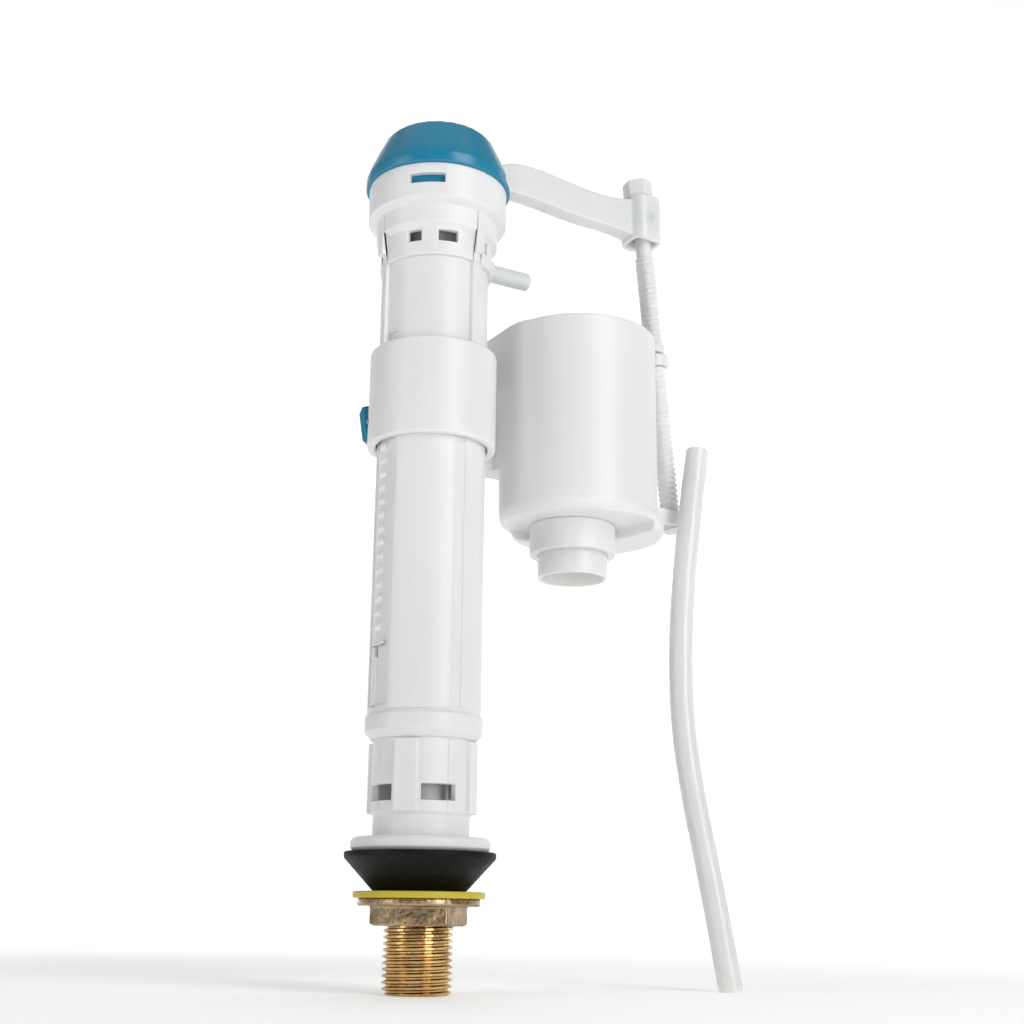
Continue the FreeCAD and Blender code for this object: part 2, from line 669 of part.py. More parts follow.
def lever_bracket():
    """Ring on the pilot cover with two cheeks that carry the lever's pin."""
    bracket = ring(BRACKET_R, COVER_BOSS_R + 0.2, BRACKET_LOW, BRACKET_TOP)
    for side in (-1, 1):
        ends = sorted((side * CHEEK_INNER, side * PIVOT_PIN_HALF))
        bracket = bracket.fuse(box(PIVOT_X - CHEEK_HALF, PIVOT_X + CHEEK_HALF, *ends, BRACKET_TOP - 0.2,
                                   PIVOT_Z + CHEEK_RISE))
    return bracket.cut(rod_along_y(PIVOT_PIN_R, PIVOT_PIN_HALF + OVERCUT, PIVOT_X, PIVOT_Z))


def lever_pin():
    return rod_along_y(PIVOT_PIN_R, PIVOT_PIN_HALF, PIVOT_X, PIVOT_Z)


def cap():
    """Domed cap with a skirt inside the head, cut away where the lever leaves."""
    skirt_r = HEAD_BORE_R - 0.1
    inside_r = HEAD_BORE_R - 1.5
    seat = HEAD_TOP + FITTED_GAP
    body = lathe([
        (inside_r, CAP_SKIRT_LOW), (skirt_r, CAP_SKIRT_LOW), (skirt_r, seat), (CAP_R, seat), (CAP_R, 263.8),
        (CAP_R - 0.9, 266.6), (CAP_R - 3.0, 271.6), (CAP_TOP_R + 1.4, CAP_TOP - 2.2),
        (CAP_TOP_R, CAP_TOP - 0.6), (CAP_TOP_R - 1.6, CAP_TOP), (0, CAP_TOP), (0, CAP_TOP - CAP_WALL),
        (CAP_TOP_R - 2.0, CAP_TOP - CAP_WALL), (CAP_R - 4.8, 271.0), (CAP_R - 2.7, 266.2), (inside_r, 264.0)])
    return body.cut(box(CAP_CUT_X, CAP_R + OVERCUT, -CAP_R, CAP_R, CAP_CUT_LOW, CAP_TOP + OVERCUT))


# ---------------------------------------------------------------- lever and rod
def smooth(points, y):
    """Curve through (x, z) points at one y."""
    curve = Part.BSplineCurve()
    curve.interpolate([Vector(x, y, z) for x, z in points])
    return curve.toShape()


def lever_arm():
    """Curved arm with a straight heel, and a housing, open above and below, for the rod's swivel."""
    near = -ARM_HALF_WIDTH
    root = HOUSING_X - 4
    knee_top = ARM_HEEL_TOP + 1
    heel = [Vector(ARM_KNEE_X, near, ARM_HEEL_LOW), Vector(ARM_HEEL_X, near, ARM_HEEL_LOW),
            Vector(ARM_HEEL_X, near, ARM_HEEL_TOP), Vector(ARM_KNEE_X, near, knee_top)]
    top = smooth([(ARM_KNEE_X, knee_top), (17, 274), (26, 279), (35, 280.2), (50, 279), (64, 277.8),
                  (root, HOUSING_TOP - 0.8)], near)
    low = smooth([(root, HOUSING_LOW + 0.6), (73, 265.8), (58, 266.2), (30, 268.2), (16, 267.6),
                  (ARM_KNEE_X, ARM_HEEL_LOW)], near)
    end = Part.makeLine(top.Vertexes[-1].Point, low.Vertexes[0].Point)
    face = Part.Face(Part.Wire([top, end, low, *Part.makePolygon(heel).Edges]))
    arm = face.extrude(Vector(0, 2 * ARM_HALF_WIDTH, 0))
    housing = rounded_square(HOUSING_HALF, HOUSING_CORNER, HOUSING_LOW, HOUSING_TOP, HOUSING_X)
    cavity = box(HOUSING_X - CAVITY_HALF_X, HOUSING_X + CAVITY_HALF_X, -CAVITY_HALF_Y, CAVITY_HALF_Y,
                 HOUSING_LOW - OVERCUT, HOUSING_TOP + OVERCUT)
    socket = rod_along_y(TRUNNION_R + RUNNING_GAP, TRUNNION_HALF + 0.1, HOUSING_X, ROD_TOP_Z)
    pivot_hole = rod_along_y(PIVOT_PIN_R + RUNNING_GAP, ARM_HALF_WIDTH + OVERCUT, PIVOT_X, PIVOT_Z)
    return arm.fuse(housing).cut(cavity).cut(socket).cut(pivot_hole)


def rod_swivel():
    barrel = rod_along_y(SWIVEL_R, SWIVEL_HALF, HOUSING_X, ROD_TOP_Z)
    axle = rod_along_y(TRUNNION_R, TRUNNION_HALF, HOUSING_X, ROD_TOP_Z)
    return barrel.fuse(axle).cut(along_rod(cylinder(ROD_CORE_R + RUNNING_GAP, -2 * SWIVEL_R, 2 * SWIVEL_R)))


def adjusting_rod():
    """Rod with a ring for each turn of its thread, and a plain neck in the swivel."""
    lead = 0.6
    rise = 0.5
    crest = 0.6
    profile = [(0, ROD_NECK_TOP), (0, ROD_THREAD_END), (ROD_CORE_R - lead, ROD_THREAD_END)]
    z = ROD_THREAD_END + lead
    while z + ROD_PITCH < ROD_THREAD_START:
        profile.append((ROD_CORE_R, z))
        profile.append((ROD_CREST_R, z + rise))
        profile.append((ROD_CREST_R, z + rise + crest))
        profile.append((ROD_CORE_R, z + 2 * rise + crest))
        z += ROD_PITCH
    profile += [(ROD_CORE_R, z), (ROD_CORE_R, ROD_NECK_TOP)]
    return along_rod(lathe(profile))


def rod_knob():
    return along_rod(hexagon(KNOB_R, KNOB_TURN, ROD_NECK_TOP, KNOB_TOP))


def level_nut():
    top = -(ROD_TOP_Z - (FORK_LOW - NUT_BELOW_FORK)) / math.cos(math.radians(ROD_LEAN))
    return along_rod(ring(NUT_R, ROD_CREST_R + 0.05, top - NUT_HEIGHT, top))


# ---------------------------------------------------------------- chamber and float
def fork(low, high, x_root, past_rod):
    """Open-ended fork along +X, which the rod sits in; its prongs end past the rod's axis."""
    rod_at = rod_x((low + high) / 2)
    room_behind = 1.6
    slot_x = rod_at - ROD_CREST_R - room_behind + FORK_GAP
    tip = rod_at + past_rod
    plate = box(x_root, tip, -FORK_HALF, FORK_HALF, low, high)
    slot = box(slot_x, tip + OVERCUT, -FORK_GAP, FORK_GAP, low - OVERCUT, high + OVERCUT)
    return plate.cut(slot).cut(cylinder(FORK_GAP, low - OVERCUT, high + OVERCUT, slot_x))


def sump():
    """Shallow round dish under the chamber's far side, with a curved near edge."""
    dish = cylinder(SUMP_R, SUMP_LOW, CHAMBER_LOW + 3, SUMP_X)
    dish = dish.makeFillet(SUMP_ROUND, edges_at_foot(dish, SUMP_LOW))
    return dish.cut(prism(SUMP_EDGE, SUMP_LOW - OVERCUT, CHAMBER_LOW + 0.01))


def float_chamber():
    """Side cup joined to the collar on the sleeve, with a guide for the rod at its foot."""
    cup = cup_section(0, CHAMBER_LOW, CHAMBER_TOP)
    cup = cup.makeFillet(CUP_FOOT_ROUND, edges_at_foot(cup, CHAMBER_LOW))
    web = box(0, CUP_FLAT_X + 4, WEB_NEAR, WEB_FAR, COLLAR_LOW, COLLAR_TOP)
    wing = box(CUP_FLAT_X, CUP_CORNER_X, 0, WEB_FAR, COLLAR_LOW, CHAMBER_TOP)
    body = cup.fuse(web).fuse(wing).fuse(cylinder(COLLAR_R, COLLAR_LOW, COLLAR_TOP)).fuse(sump())
    body = body.fuse(fork(GUIDE_LOW, GUIDE_TOP, CUP_X + CUP_R - 1.5, GUIDE_PAST_ROD))
    body = body.cut(cup_section(CHAMBER_WALL, CHAMBER_LOW + CHAMBER_FLOOR, CHAMBER_TOP + OVERCUT))
    body = body.cut(cylinder(COLLAR_BORE_R, COLLAR_LOW - OVERCUT, CHAMBER_TOP + OVERCUT))
    latch_window = fin(COLLAR_BORE_R - 2, COLLAR_R + 2, LATCH_HALF + LATCH_WINDOW_GAP,
                       LATCH_LOW - 0.7, LATCH_TOP + 0.7)
    pin_hole = rod_along_y(LATCH_PIN_R, LATCH_PIN_HALF + 0.7, *LATCH_PIN_AT)
    body = body.cut(turned(latch_window.fuse(pin_hole), LATCH_ANGLE))
    body = body.cut(cylinder(OUTLET_HOLE_R, SUMP_LOW - OVERCUT, CHAMBER_LOW + 6, OUTLET_X))
    return body.cut(cylinder(OUTLET_COLLAR_R + FITTED_GAP, SUMP_LOW - OVERCUT, CHAMBER_LOW, OUTLET_X))


def outlet_collar():
    return ring(OUTLET_COLLAR_R, OUTLET_TUBE_R, OUTLET_COLLAR_LOW, CHAMBER_LOW, OUTLET_X)


def outlet_tube():
    """Tube with a four-spoke spider that guides the check disc's stem."""
    tube = ring(OUTLET_TUBE_R, OUTLET_TUBE_BORE_R, OUTLET_TUBE_LOW, CHAMBER_LOW, OUTLET_X)
    tube = tube.fuse(ring(SPIDER_R, SPIDER_BORE_R, SPIDER_LOW, SPIDER_TOP, OUTLET_X))
    for k in range(4):
        spoke = fin(SPIDER_R - 0.6, OUTLET_TUBE_BORE_R + 0.5, SPOKE_HALF, SPIDER_LOW, SPIDER_TOP)
        spoke = turned(spoke, 90 * k)
        spoke.translate(Vector(OUTLET_X, 0, 0))
        tube = tube.fuse(spoke)
    return tube


def check_disc():
    disc = cylinder(DISC_R, SPIDER_TOP + FITTED_GAP, DISC_TOP, OUTLET_X)
    return disc.fuse(cylinder(DISC_STEM_R, DISC_STEM_LOW, DISC_TOP - 0.5, OUTLET_X))


def float_bell():
    """Upturned bell that traps air inside the chamber."""
    bell = cup_section(FLOAT_GAP, FLOAT_LOW, FLOAT_TOP)
    bell = bell.makeFillet(FLOAT_ROUND, edges_at_top(bell, FLOAT_TOP))
    return bell.cut(cup_section(FLOAT_GAP + FLOAT_WALL, FLOAT_LOW - OVERCUT, FLOAT_TOP - FLOAT_WALL))


def float_arm():
    """Hollow post on the float, with a fork over the chamber's rim to the rod."""
    post = box(POST_X, POST_END_X, -FORK_HALF, FORK_HALF, FLOAT_TOP, FORK_TOP)
    hollow_half = FORK_HALF - POST_WALL_Y
    hollow = box(POST_X + POST_WALL_X, POST_END_X + OVERCUT, -hollow_half, hollow_half, FLOAT_TOP - OVERCUT,
                 FORK_LOW)
    return post.cut(hollow).fuse(fork(FORK_LOW, FORK_TOP, POST_X, FORK_PAST_ROD))


def latch_button():
    """Rocking pad on its pin, pressed so that its tooth is just out of the back rack."""
    pad = fin(LATCH_INNER_R, LATCH_R, LATCH_HALF, LATCH_LOW, LATCH_TOP)
    pad = pad.makeChamfer(LATCH_CHAMFER, edges_at_tip(pad, LATCH_R))
    hole = rod_along_y(LATCH_PIN_R + RUNNING_GAP, LATCH_HALF + OVERCUT, *LATCH_PIN_AT)
    pad = pad.cut(hole).fuse(side_plate(TOOTH, TOOTH_HALF))
    pin_x, pin_z = LATCH_PIN_AT
    pad.rotate(Vector(pin_x, 0, pin_z), Vector(0, 1, 0), LATCH_PRESSED)
    return turned(pad, LATCH_ANGLE)


def latch_pin():
    return turned(rod_along_y(LATCH_PIN_R, LATCH_PIN_HALF, *LATCH_PIN_AT), LATCH_ANGLE)


# ---------------------------------------------------------------- hose
def hose_path(route):
    """Straight runs joined by tangent arcs, each as large as its two runs allow."""
    points = [Vector(*p) for p in route]
    edges = []
    radii = []
    start = points[0]
    for before, corner, after in zip(points, points[1:], points[2:]):
        back = (before - corner).normalize()
        ahead = (after - corner).normalize()
        setback = SETBACK * min((before - corner).Length, (after - corner).Length)
        turn = math.pi - back.getAngle(ahead)
        radius = setback / math.tan(turn / 2)
        arc_start = corner + back * setback
        arc_end = corner + ahead * setback
        arc_middle = corner + (back + ahead).normalize() * (radius / math.cos(turn / 2) - radius)
        edges.append(Part.LineSegment(start, arc_start).toShape())
        edges.append(Part.Arc(arc_start, arc_middle, arc_end).toShape())
        radii.append(round(radius))
        start = arc_end
    edges.append(Part.LineSegment(start, points[-1]).toShape())
    print("hose radii", radii)
    return Part.Wire(edges)


def refill_hose():
    """Loose hose, cut level where it stands on the floor."""
    path = hose_path(HOSE_ROUTE)
    first = path.Edges[0]
    direction = first.tangentAt(first.FirstParameter)
    skins = []
    for radius in (HOSE_R, HOSE_BORE_R):
        circle = Part.Wire(Part.makeCircle(radius, Vector(*HOSE_ROUTE[0]), direction))
        skins.append(path.makePipeShell([circle], True, False))
    hose = skins[0].cut(skins[1])
    section = math.pi * (HOSE_R ** 2 - HOSE_BORE_R ** 2)
    print("hose length", round(path.Length, 2), "volume ratio", round(hose.Volume / section / path.Length, 4))
    end = HOSE_ROUTE[-1]
    reach = 5 * HOSE_R
    below_floor = box(end[0] - reach, end[0] + reach, end[1] - reach, end[1] + reach, -reach, 0)
    return hose.cut(below_floor)


PIECES = [
    tail_shank, back_nut, yellow_washer, cone_washer, inlet_filter, flow_restrictor, shank_gasket, lower_body,
    riser_tube, riser_orings, outer_sleeve, inner_tube, head_body, refill_nozzle, valve_seat, diaphragm,
    diaphragm_insert, pilot_cover, pilot_pin, lever_bracket, lever_pin, cap, lever_arm, rod_swivel,
    adjusting_rod, rod_knob, level_nut, float_chamber, outlet_collar, outlet_tube, check_disc, float_bell,
    float_arm, latch_button, latch_pin, refill_hose,
]

os.makedirs("parts", exist_ok=True)
for piece in PIECES:
    save(piece(), piece.__name__)
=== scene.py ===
"""Toilet fill valve: visual model, materials, light and camera.

Metres, in the model's own frame: +Z runs up the valve's axis, the origin is at the lower end of
the threaded tail, and +X points from the column towards the float.
"""

import json
import math

import bmesh
import bpy
from mathutils import Matrix, Vector

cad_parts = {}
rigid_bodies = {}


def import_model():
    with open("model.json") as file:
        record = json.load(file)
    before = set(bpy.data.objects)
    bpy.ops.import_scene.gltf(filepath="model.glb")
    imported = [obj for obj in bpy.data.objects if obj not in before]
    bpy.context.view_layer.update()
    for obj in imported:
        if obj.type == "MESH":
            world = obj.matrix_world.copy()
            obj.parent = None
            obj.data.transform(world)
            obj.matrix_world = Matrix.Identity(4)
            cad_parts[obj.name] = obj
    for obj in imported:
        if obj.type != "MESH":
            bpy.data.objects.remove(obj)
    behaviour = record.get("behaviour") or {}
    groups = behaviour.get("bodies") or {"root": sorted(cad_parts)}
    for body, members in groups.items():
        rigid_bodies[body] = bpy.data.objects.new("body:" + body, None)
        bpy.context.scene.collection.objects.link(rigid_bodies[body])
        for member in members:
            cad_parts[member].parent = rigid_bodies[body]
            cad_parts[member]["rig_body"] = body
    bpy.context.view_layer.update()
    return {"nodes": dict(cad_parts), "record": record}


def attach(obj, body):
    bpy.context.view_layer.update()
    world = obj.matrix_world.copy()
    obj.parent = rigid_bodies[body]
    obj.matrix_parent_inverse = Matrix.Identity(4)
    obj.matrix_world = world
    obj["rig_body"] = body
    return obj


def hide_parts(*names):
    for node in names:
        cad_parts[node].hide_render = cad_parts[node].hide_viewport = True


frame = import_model()

MM = 0.001

# ---- view ----
CAMERA_AT = (-0.2004, -0.4002, 0.0234)
CAMERA_HEADING = 30.0       # degrees from +Y towards +X
CAMERA_PITCH = 15.6
CAMERA_ROLL = 0.65
CAMERA_LENS = 50.6
CAMERA_SENSOR = 36.0
CAMERA_CLIP = (0.01, 20.0)

# ---- tail thread ----
TAIL_CREST_R = 10.48
TAIL_NECK_R = 10.3
TAIL_ROOT_R = 9.3
TAIL_PITCH = 1.814
TAIL_THREAD_TOP = 41.0
TAIL_TURN_STEPS = 96
TAIL_HEAD_R = 12.6
TAIL_HEAD_LOW = 46.2
TAIL_HEAD_TOP = 50.2
TAIL_BORE_R = 7.0
TAIL_BORE_MID = 24.0        # height where the bore's long faces are split
TAIL_BORE_CHAMFER = 0.5
TAIL_LEAD_IN = 1.6          # growth of the thread's radius per millimetre from its ends

# ---- adjusting rod, which leans outwards towards its lower end ----
ROD_TOP = (84.9, 0.0, 272.5)
ROD_LEAN = math.atan(0.0983)
ROD_CREST_R = 3.5
ROD_CORE_R = 2.9
ROD_PITCH = 2.0
ROD_LOW = -119.0
ROD_TIP_LENGTH = 0.7
ROD_TIP_TAPER = 0.9
ROD_LEAD_IN = 0.9
ROD_THREAD_TOP = -14.0
ROD_NECK_TOP = 9.6
ROD_TURN_STEPS = 48
ROD_FLAT = 3.05             # distance of the rod's flat strip from its axis
ROD_FLAT_SIDE = (-0.94, -0.34)

# ---- loose refill hose ----
HOSE_R = 4.0
HOSE_BORE_R = 2.7
HOSE_SIDES = 40
HOSE_LIP = 0.25
HOSE_RESOLUTION = 24
HOSE_ROUTE = [
    (100.4, -10.6, 182.5),
    (95.9, -12.4, 163.0),
    (92.9, -12.0, 141.0),
    (90.9, -11.0, 114.0),
    (90.9, -10.9, 87.0),
    (93.4, -12.4, 63.0),
    (97.0, -14.5, 41.0),
    (100.2, -16.3, 20.0),
    (103.0, -18.0, 0.0),
]

# ---- thread profile, as shares of the pitch and of the thread's depth ----
CREST_SHARE = 0.34
ROOT_SHARE = 0.18
CORNER_SHARE = 0.05
CORNER_DROP = 0.12

# ---- edges and skins, in millimetres and degrees ----
EDGE_WIDTH = {
    "cap": 0.5,
    "outer_sleeve": 0.22,
    "head_body": 0.3,
    "lower_body": 0.3,
    "cone_washer": 0.45,
    "yellow_washer": 0.35,
    "rod_knob": 0.4,
    "latch_button": 0.4,
    "outlet_collar": 0.4,
    "outlet_tube": 0.25,
    "refill_nozzle": 0.3,
    "float_bell": 0.4,
}
PLAIN_EDGE = 0.2
EDGE_SEGMENTS = 2
EDGE_ANGLE = 28.0
FLAT_ANGLE = 0.5            # faces closer in angle than this are joined
KEEP_FACES = {"latch_button"}
MOULDED = {"float_chamber": (0.5, 6), "lever_arm": (0.3, 14)}   # grain of the skin and smoothing passes
THREAD_CREASE = 40.0
HOSE_CREASE = 50.0
CASTING_GRAIN = 0.32
CASTING_LAYERS = ((2.4, 0.22), (0.9, 0.12))     # size and height of the cast surface's bumps
WELD = 2e-6                 # metres
HOSE_WELD = 1e-7

# ---- noise scales of the finishes, per metre ----
FLOW_MARKS = 38.0
FINE_GLOSS = 900.0
MOULDED_SKIN = 2600.0
TARNISH = 140.0
DUST = 1500.0
DULL_PATCHES = 110.0
PAPER = 30.0
NOISE_MIDDLE = (0.3, 0.7)   # the noise's usual range
FLOW_STRETCH = (1.0, 1.0, 0.35)

# ---- relief of the finishes: height in metres and strength ----
FLOW_RELIEF = (0.00025, 0.25)
SKIN_RELIEF = (0.00003, 0.35)
TARNISH_RELIEF = (0.0001, 0.2)
GRAIN_STRENGTH = 0.6
PATCH_RELIEF = (0.0002, 0.3)
DUST_RELIEF = (0.00005, 0.5)

# ---- studio, in metres ----
STAGE_HALF_WIDTH = 1.6
STAGE_FRONT = -1.0
STAGE_BEND_START = 1.2
STAGE_BEND_R = 0.8
STAGE_BEND_STEPS = 16
STAGE_HEIGHT = 2.4
STAGE_GLOW = (0.3, 0.74)            # beside the valve and far from it
STAGE_GLOW_REACH = (0.1, 0.9)       # the distances where the two hold
ROOM_LEVEL = (0.02, 0.3)            # in front of the valve and behind it
ROOM_TURN = (-0.9, 0.5)             # Y of the directions where the two hold
LIGHT_TARGET = (0.02, 0.0, 0.13)
LIGHTS = [                          # name, place, width and height, watts
    ("key", (0.20, -0.97, 0.45), (0.48, 1.2), 7.3),
    ("left", (-0.98, -0.06, 0.32), (0.4, 1.0), 2.5),
    ("right", (0.9, 0.1, 0.4), (0.3, 0.9), 0.6),
    ("top", (0.0, 0.0, 1.1), (0.8, 0.8), 0.7),
]


# ---------------------------------------------------------------- node helpers
def new_material(name):
    made = bpy.data.materials.new(name)
    made.use_nodes = True
    return made, made.node_tree.nodes["Principled BSDF"]


def add_noise(tree, scale, detail=4.0, roughness=0.55, stretch=(1.0, 1.0, 1.0)):
    """Noise in the piece's own coordinates, so it moves with the piece."""
    where = tree.nodes.new("ShaderNodeTexCoord")
    mapping = tree.nodes.new("ShaderNodeMapping")
    mapping.inputs["Scale"].default_value = stretch
    noise = tree.nodes.new("ShaderNodeTexNoise")
    noise.inputs["Scale"].default_value = scale
    noise.inputs["Detail"].default_value = detail
    noise.inputs["Roughness"].default_value = roughness
    tree.links.new(where.outputs["Object"], mapping.inputs["Vector"])
    tree.links.new(mapping.outputs["Vector"], noise.inputs["Vector"])
    return noise


def add_ramp(tree, source, stops):
    """Colour ramp from (position, colour) stops."""
    ramp = tree.nodes.new("ShaderNodeValToRGB")
    elements = ramp.color_ramp.elements
    while len(elements) < len(stops):
        elements.new(0.5)
    for element, (position, colour) in zip(elements, stops):
        element.position = position
        element.color = (*colour, 1.0)
    tree.links.new(source.outputs["Fac"], ramp.inputs["Fac"])
    return ramp


def add_range(tree, value, source, target, blend="LINEAR"):
    """Map a value from one (low, high) range to another."""
    spread = tree.nodes.new("ShaderNodeMapRange")
    spread.interpolation_type = blend
    for side, limits in (("From", source), ("To", target)):
        spread.inputs[side + " Min"].default_value = limits[0]
        spread.inputs[side + " Max"].default_value = limits[1]
    tree.links.new(value, spread.inputs["Value"])
    return spread.outputs["Result"]


def add_gloss(tree, shader, noise, low, high):
    """Roughness that varies with the noise."""
    result = add_range(tree, noise.outputs["Fac"], NOISE_MIDDLE, (low, high))
    tree.links.new(result, shader.inputs["Roughness"])


def add_tint(tree, shader, noise, stops):
    """Base colour that varies with the noise."""
    ramp = add_ramp(tree, noise, stops)
    tree.links.new(ramp.outputs["Color"], shader.inputs["Base Color"])


def add_bump(tree, shader, layers):
    """Stack bump layers, each (noise, height in metres, strength)."""
    normal = None
    for noise, height, strength in layers:
        bump = tree.nodes.new("ShaderNodeBump")
        bump.inputs["Distance"].default_value = height
        bump.inputs["Strength"].default_value = strength
        tree.links.new(noise.outputs["Fac"], bump.inputs["Height"])
        if normal is not None:
            tree.links.new(normal, bump.inputs["Normal"])
        normal = bump.outputs["Normal"]
    tree.links.new(normal, shader.inputs["Normal"])


def shade(colour, factor):
    return tuple(min(1.0, c * factor) for c in colour)


def plastic(name, colour, roughness, glow=0.0, depth=1.0, through=0.0):
    """Moulded plastic: faint flow marks in colour, fine changes of gloss, and a moulded skin.

    glow and depth are the weight of the light inside the plastic and its reach in millimetres,
    and through is the share that passes straight on.
    """
    made, shader = new_material(name)
    tree = made.node_tree
    flow = add_noise(tree, FLOW_MARKS, detail=3.0, roughness=0.5, stretch=FLOW_STRETCH)
    fine = add_noise(tree, FINE_GLOSS, detail=3.0)
    skin = add_noise(tree, MOULDED_SKIN, detail=2.0)
    add_tint(tree, shader, flow, [(0.30, shade(colour, 0.965)), (0.70, shade(colour, 1.02))])
    add_gloss(tree, shader, fine, roughness - 0.05, roughness + 0.07)
    add_bump(tree, shader, [(flow, *FLOW_RELIEF), (skin, *SKIN_RELIEF)])
    shader.inputs["Specular IOR Level"].default_value = 0.45
    shader.inputs["Subsurface Weight"].default_value = glow
    shader.inputs["Subsurface Radius"].default_value = (1.0, 0.9, 0.8)
    shader.inputs["Subsurface Scale"].default_value = depth * MM
    shader.inputs["Transmission Weight"].default_value = through
    return made


def metal(name, dark, light, roughness, grain, grain_height):
    """Worked metal with tarnish in patches and fine tool or casting grain."""
    made, shader = new_material(name)
    tree = made.node_tree
    tarnish = add_noise(tree, TARNISH, detail=5.0, roughness=0.6)
    texture = add_noise(tree, grain, roughness=0.6)
    add_tint(tree, shader, tarnish, [(0.32, dark), (0.62, light)])
    add_gloss(tree, shader, texture, roughness - 0.04, roughness + 0.08)
    add_bump(tree, shader, [(tarnish, *TARNISH_RELIEF), (texture, grain_height, GRAIN_STRENGTH)])
    shader.inputs["Metallic"].default_value = 1.0
    return made


def rubber(name, colour, speck):
    """Matt rubber with moulding dust: sparse pale specks over a dull skin."""
    made, shader = new_material(name)
    tree = made.node_tree
    dust = add_noise(tree, DUST, detail=2.0, roughness=0.4)
    patch = add_noise(tree, DULL_PATCHES)
    add_tint(tree, shader, dust, [(0.66, colour), (0.72, speck)])
    add_gloss(tree, shader, patch, 0.42, 0.66)
    add_bump(tree, shader, [(patch, *PATCH_RELIEF), (dust, *DUST_RELIEF)])
    shader.inputs["Specular IOR Level"].default_value = 0.2
    return made


def make_materials():
    return {
        "brass": metal("turned_brass", dark=(0.38, 0.24, 0.09), light=(0.68, 0.47, 0.21), roughness=0.08,
                       grain=1400.0, grain_height=0.00001),
        "bronze": metal("cast_bronze", dark=(0.25, 0.175, 0.10), light=(0.50, 0.37, 0.22), roughness=0.26,
                        grain=1100.0, grain_height=0.00008),
        "yellow_plastic": plastic("yellow_washer_plastic", (0.60, 0.485, 0.04), roughness=0.42, glow=0.1),
        "black_rubber": rubber("black_cone_rubber", (0.0035, 0.0035, 0.0035), speck=(0.03, 0.03, 0.03)),
        "white_plastic": plastic("white_moulded_plastic", (0.835, 0.837, 0.845), roughness=0.36,
                                 glow=0.4, depth=1.5),
        "milky_plastic": plastic("milky_plastic", (0.78, 0.79, 0.785), roughness=0.3, glow=0.8, depth=4.0),
        "blue_plastic": plastic("teal_plastic", (0.018, 0.225, 0.37), roughness=0.22),
        "seal_rubber": rubber("seal_rubber", (0.01, 0.01, 0.011), speck=(0.05, 0.05, 0.05)),
        "hose_plastic": plastic("hose_plastic", (0.97, 0.965, 0.905), roughness=0.18, glow=0.8, depth=3.0,
                                through=0.05),
        "steel": metal("drawn_steel", dark=(0.42, 0.42, 0.44), light=(0.62, 0.62, 0.64), roughness=0.3,
                       grain=900.0, grain_height=0.00001),
    }


# ---------------------------------------------------------------- mesh helpers
def add_object(name, mesh):
    made = bpy.data.objects.new(name, mesh)
    bpy.context.scene.collection.objects.link(made)
    return made


def mesh_from(name, points, faces):
    mesh = bpy.data.meshes.new(name)
    mesh.from_pydata(points, [], faces)
    mesh.validate()
    return mesh


def clean_mesh(name, points, faces, weld=WELD, flatten=FLAT_ANGLE):
    """Weld the points, join flat faces and point every face outwards. Repeated faces are left out."""
    work = bmesh.new()
    made = [work.verts.new(p) for p in points]
    for face in faces:
        if len(set(face)) > 2:
            try:
                work.faces.new([made[i] for i in face])
            except ValueError:
                continue
    bmesh.ops.remove_doubles(work, verts=work.verts, dist=weld)
    bmesh.ops.dissolve_degenerate(work, dist=weld / 2, edges=work.edges)
    if flatten:
        bmesh.ops.dissolve_limit(work, angle_limit=math.radians(flatten), verts=work.verts, edges=work.edges)
    bmesh.ops.recalc_face_normals(work, faces=work.faces)
    mesh = bpy.data.meshes.new(name)
    work.to_mesh(mesh)
    work.free()
    return mesh


def soften(obj, width):
    """Round the sharp edges and keep the flats flat."""
    bevel = obj.modifiers.new("edges", "BEVEL")
    bevel.width = width * MM
    bevel.segments = EDGE_SEGMENTS
    bevel.limit_method = "ANGLE"
    bevel.angle_limit = math.radians(EDGE_ANGLE)
    bevel.use_clamp_overlap = False
    bevel.miter_outer = "MITER_ARC"
    weighted = obj.modifiers.new("flats", "WEIGHTED_NORMAL")
    weighted.keep_sharp = False
    obj.data.shade_smooth()


def cad_points(node):
    """The points and faces of a CAD node."""
    mesh = frame["nodes"][node].data
    return [v.co.copy() for v in mesh.vertices], [tuple(p.vertices) for p in mesh.polygons]


def softened(node, width):
    """The CAD piece with rounded edges."""
    points, faces = cad_points(node)
    flatten = 0 if node in KEEP_FACES else FLAT_ANGLE
    made = add_object(node + "_skin", clean_mesh(node + "_skin", points, faces, flatten=flatten))
    soften(made, width)
    return made


def moulded(node, grain, passes):
    """A rounded, flowing skin over a thick-walled moulding."""
    points, faces = cad_points(node)
    made = add_object(node + "_skin", clean_mesh(node + "_skin", points, faces))
    remesh = made.modifiers.new("skin", "REMESH")
    remesh.mode = "VOXEL"
    remesh.voxel_size = grain * MM
    remesh.use_smooth_shade = True
    smooth = made.modifiers.new("flow", "SMOOTH")
    smooth.factor = 0.5
    smooth.iterations = passes
    return made


def settle(obj, node, materials):
    """Give the piece its finish, and let it stand for its CAD node on that node's body."""
    slot = SLOT_OF[node]
    obj.data.materials.clear()
    obj.data.materials.append(materials[slot])
    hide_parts(node)
    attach(obj, BODY_OF[node])


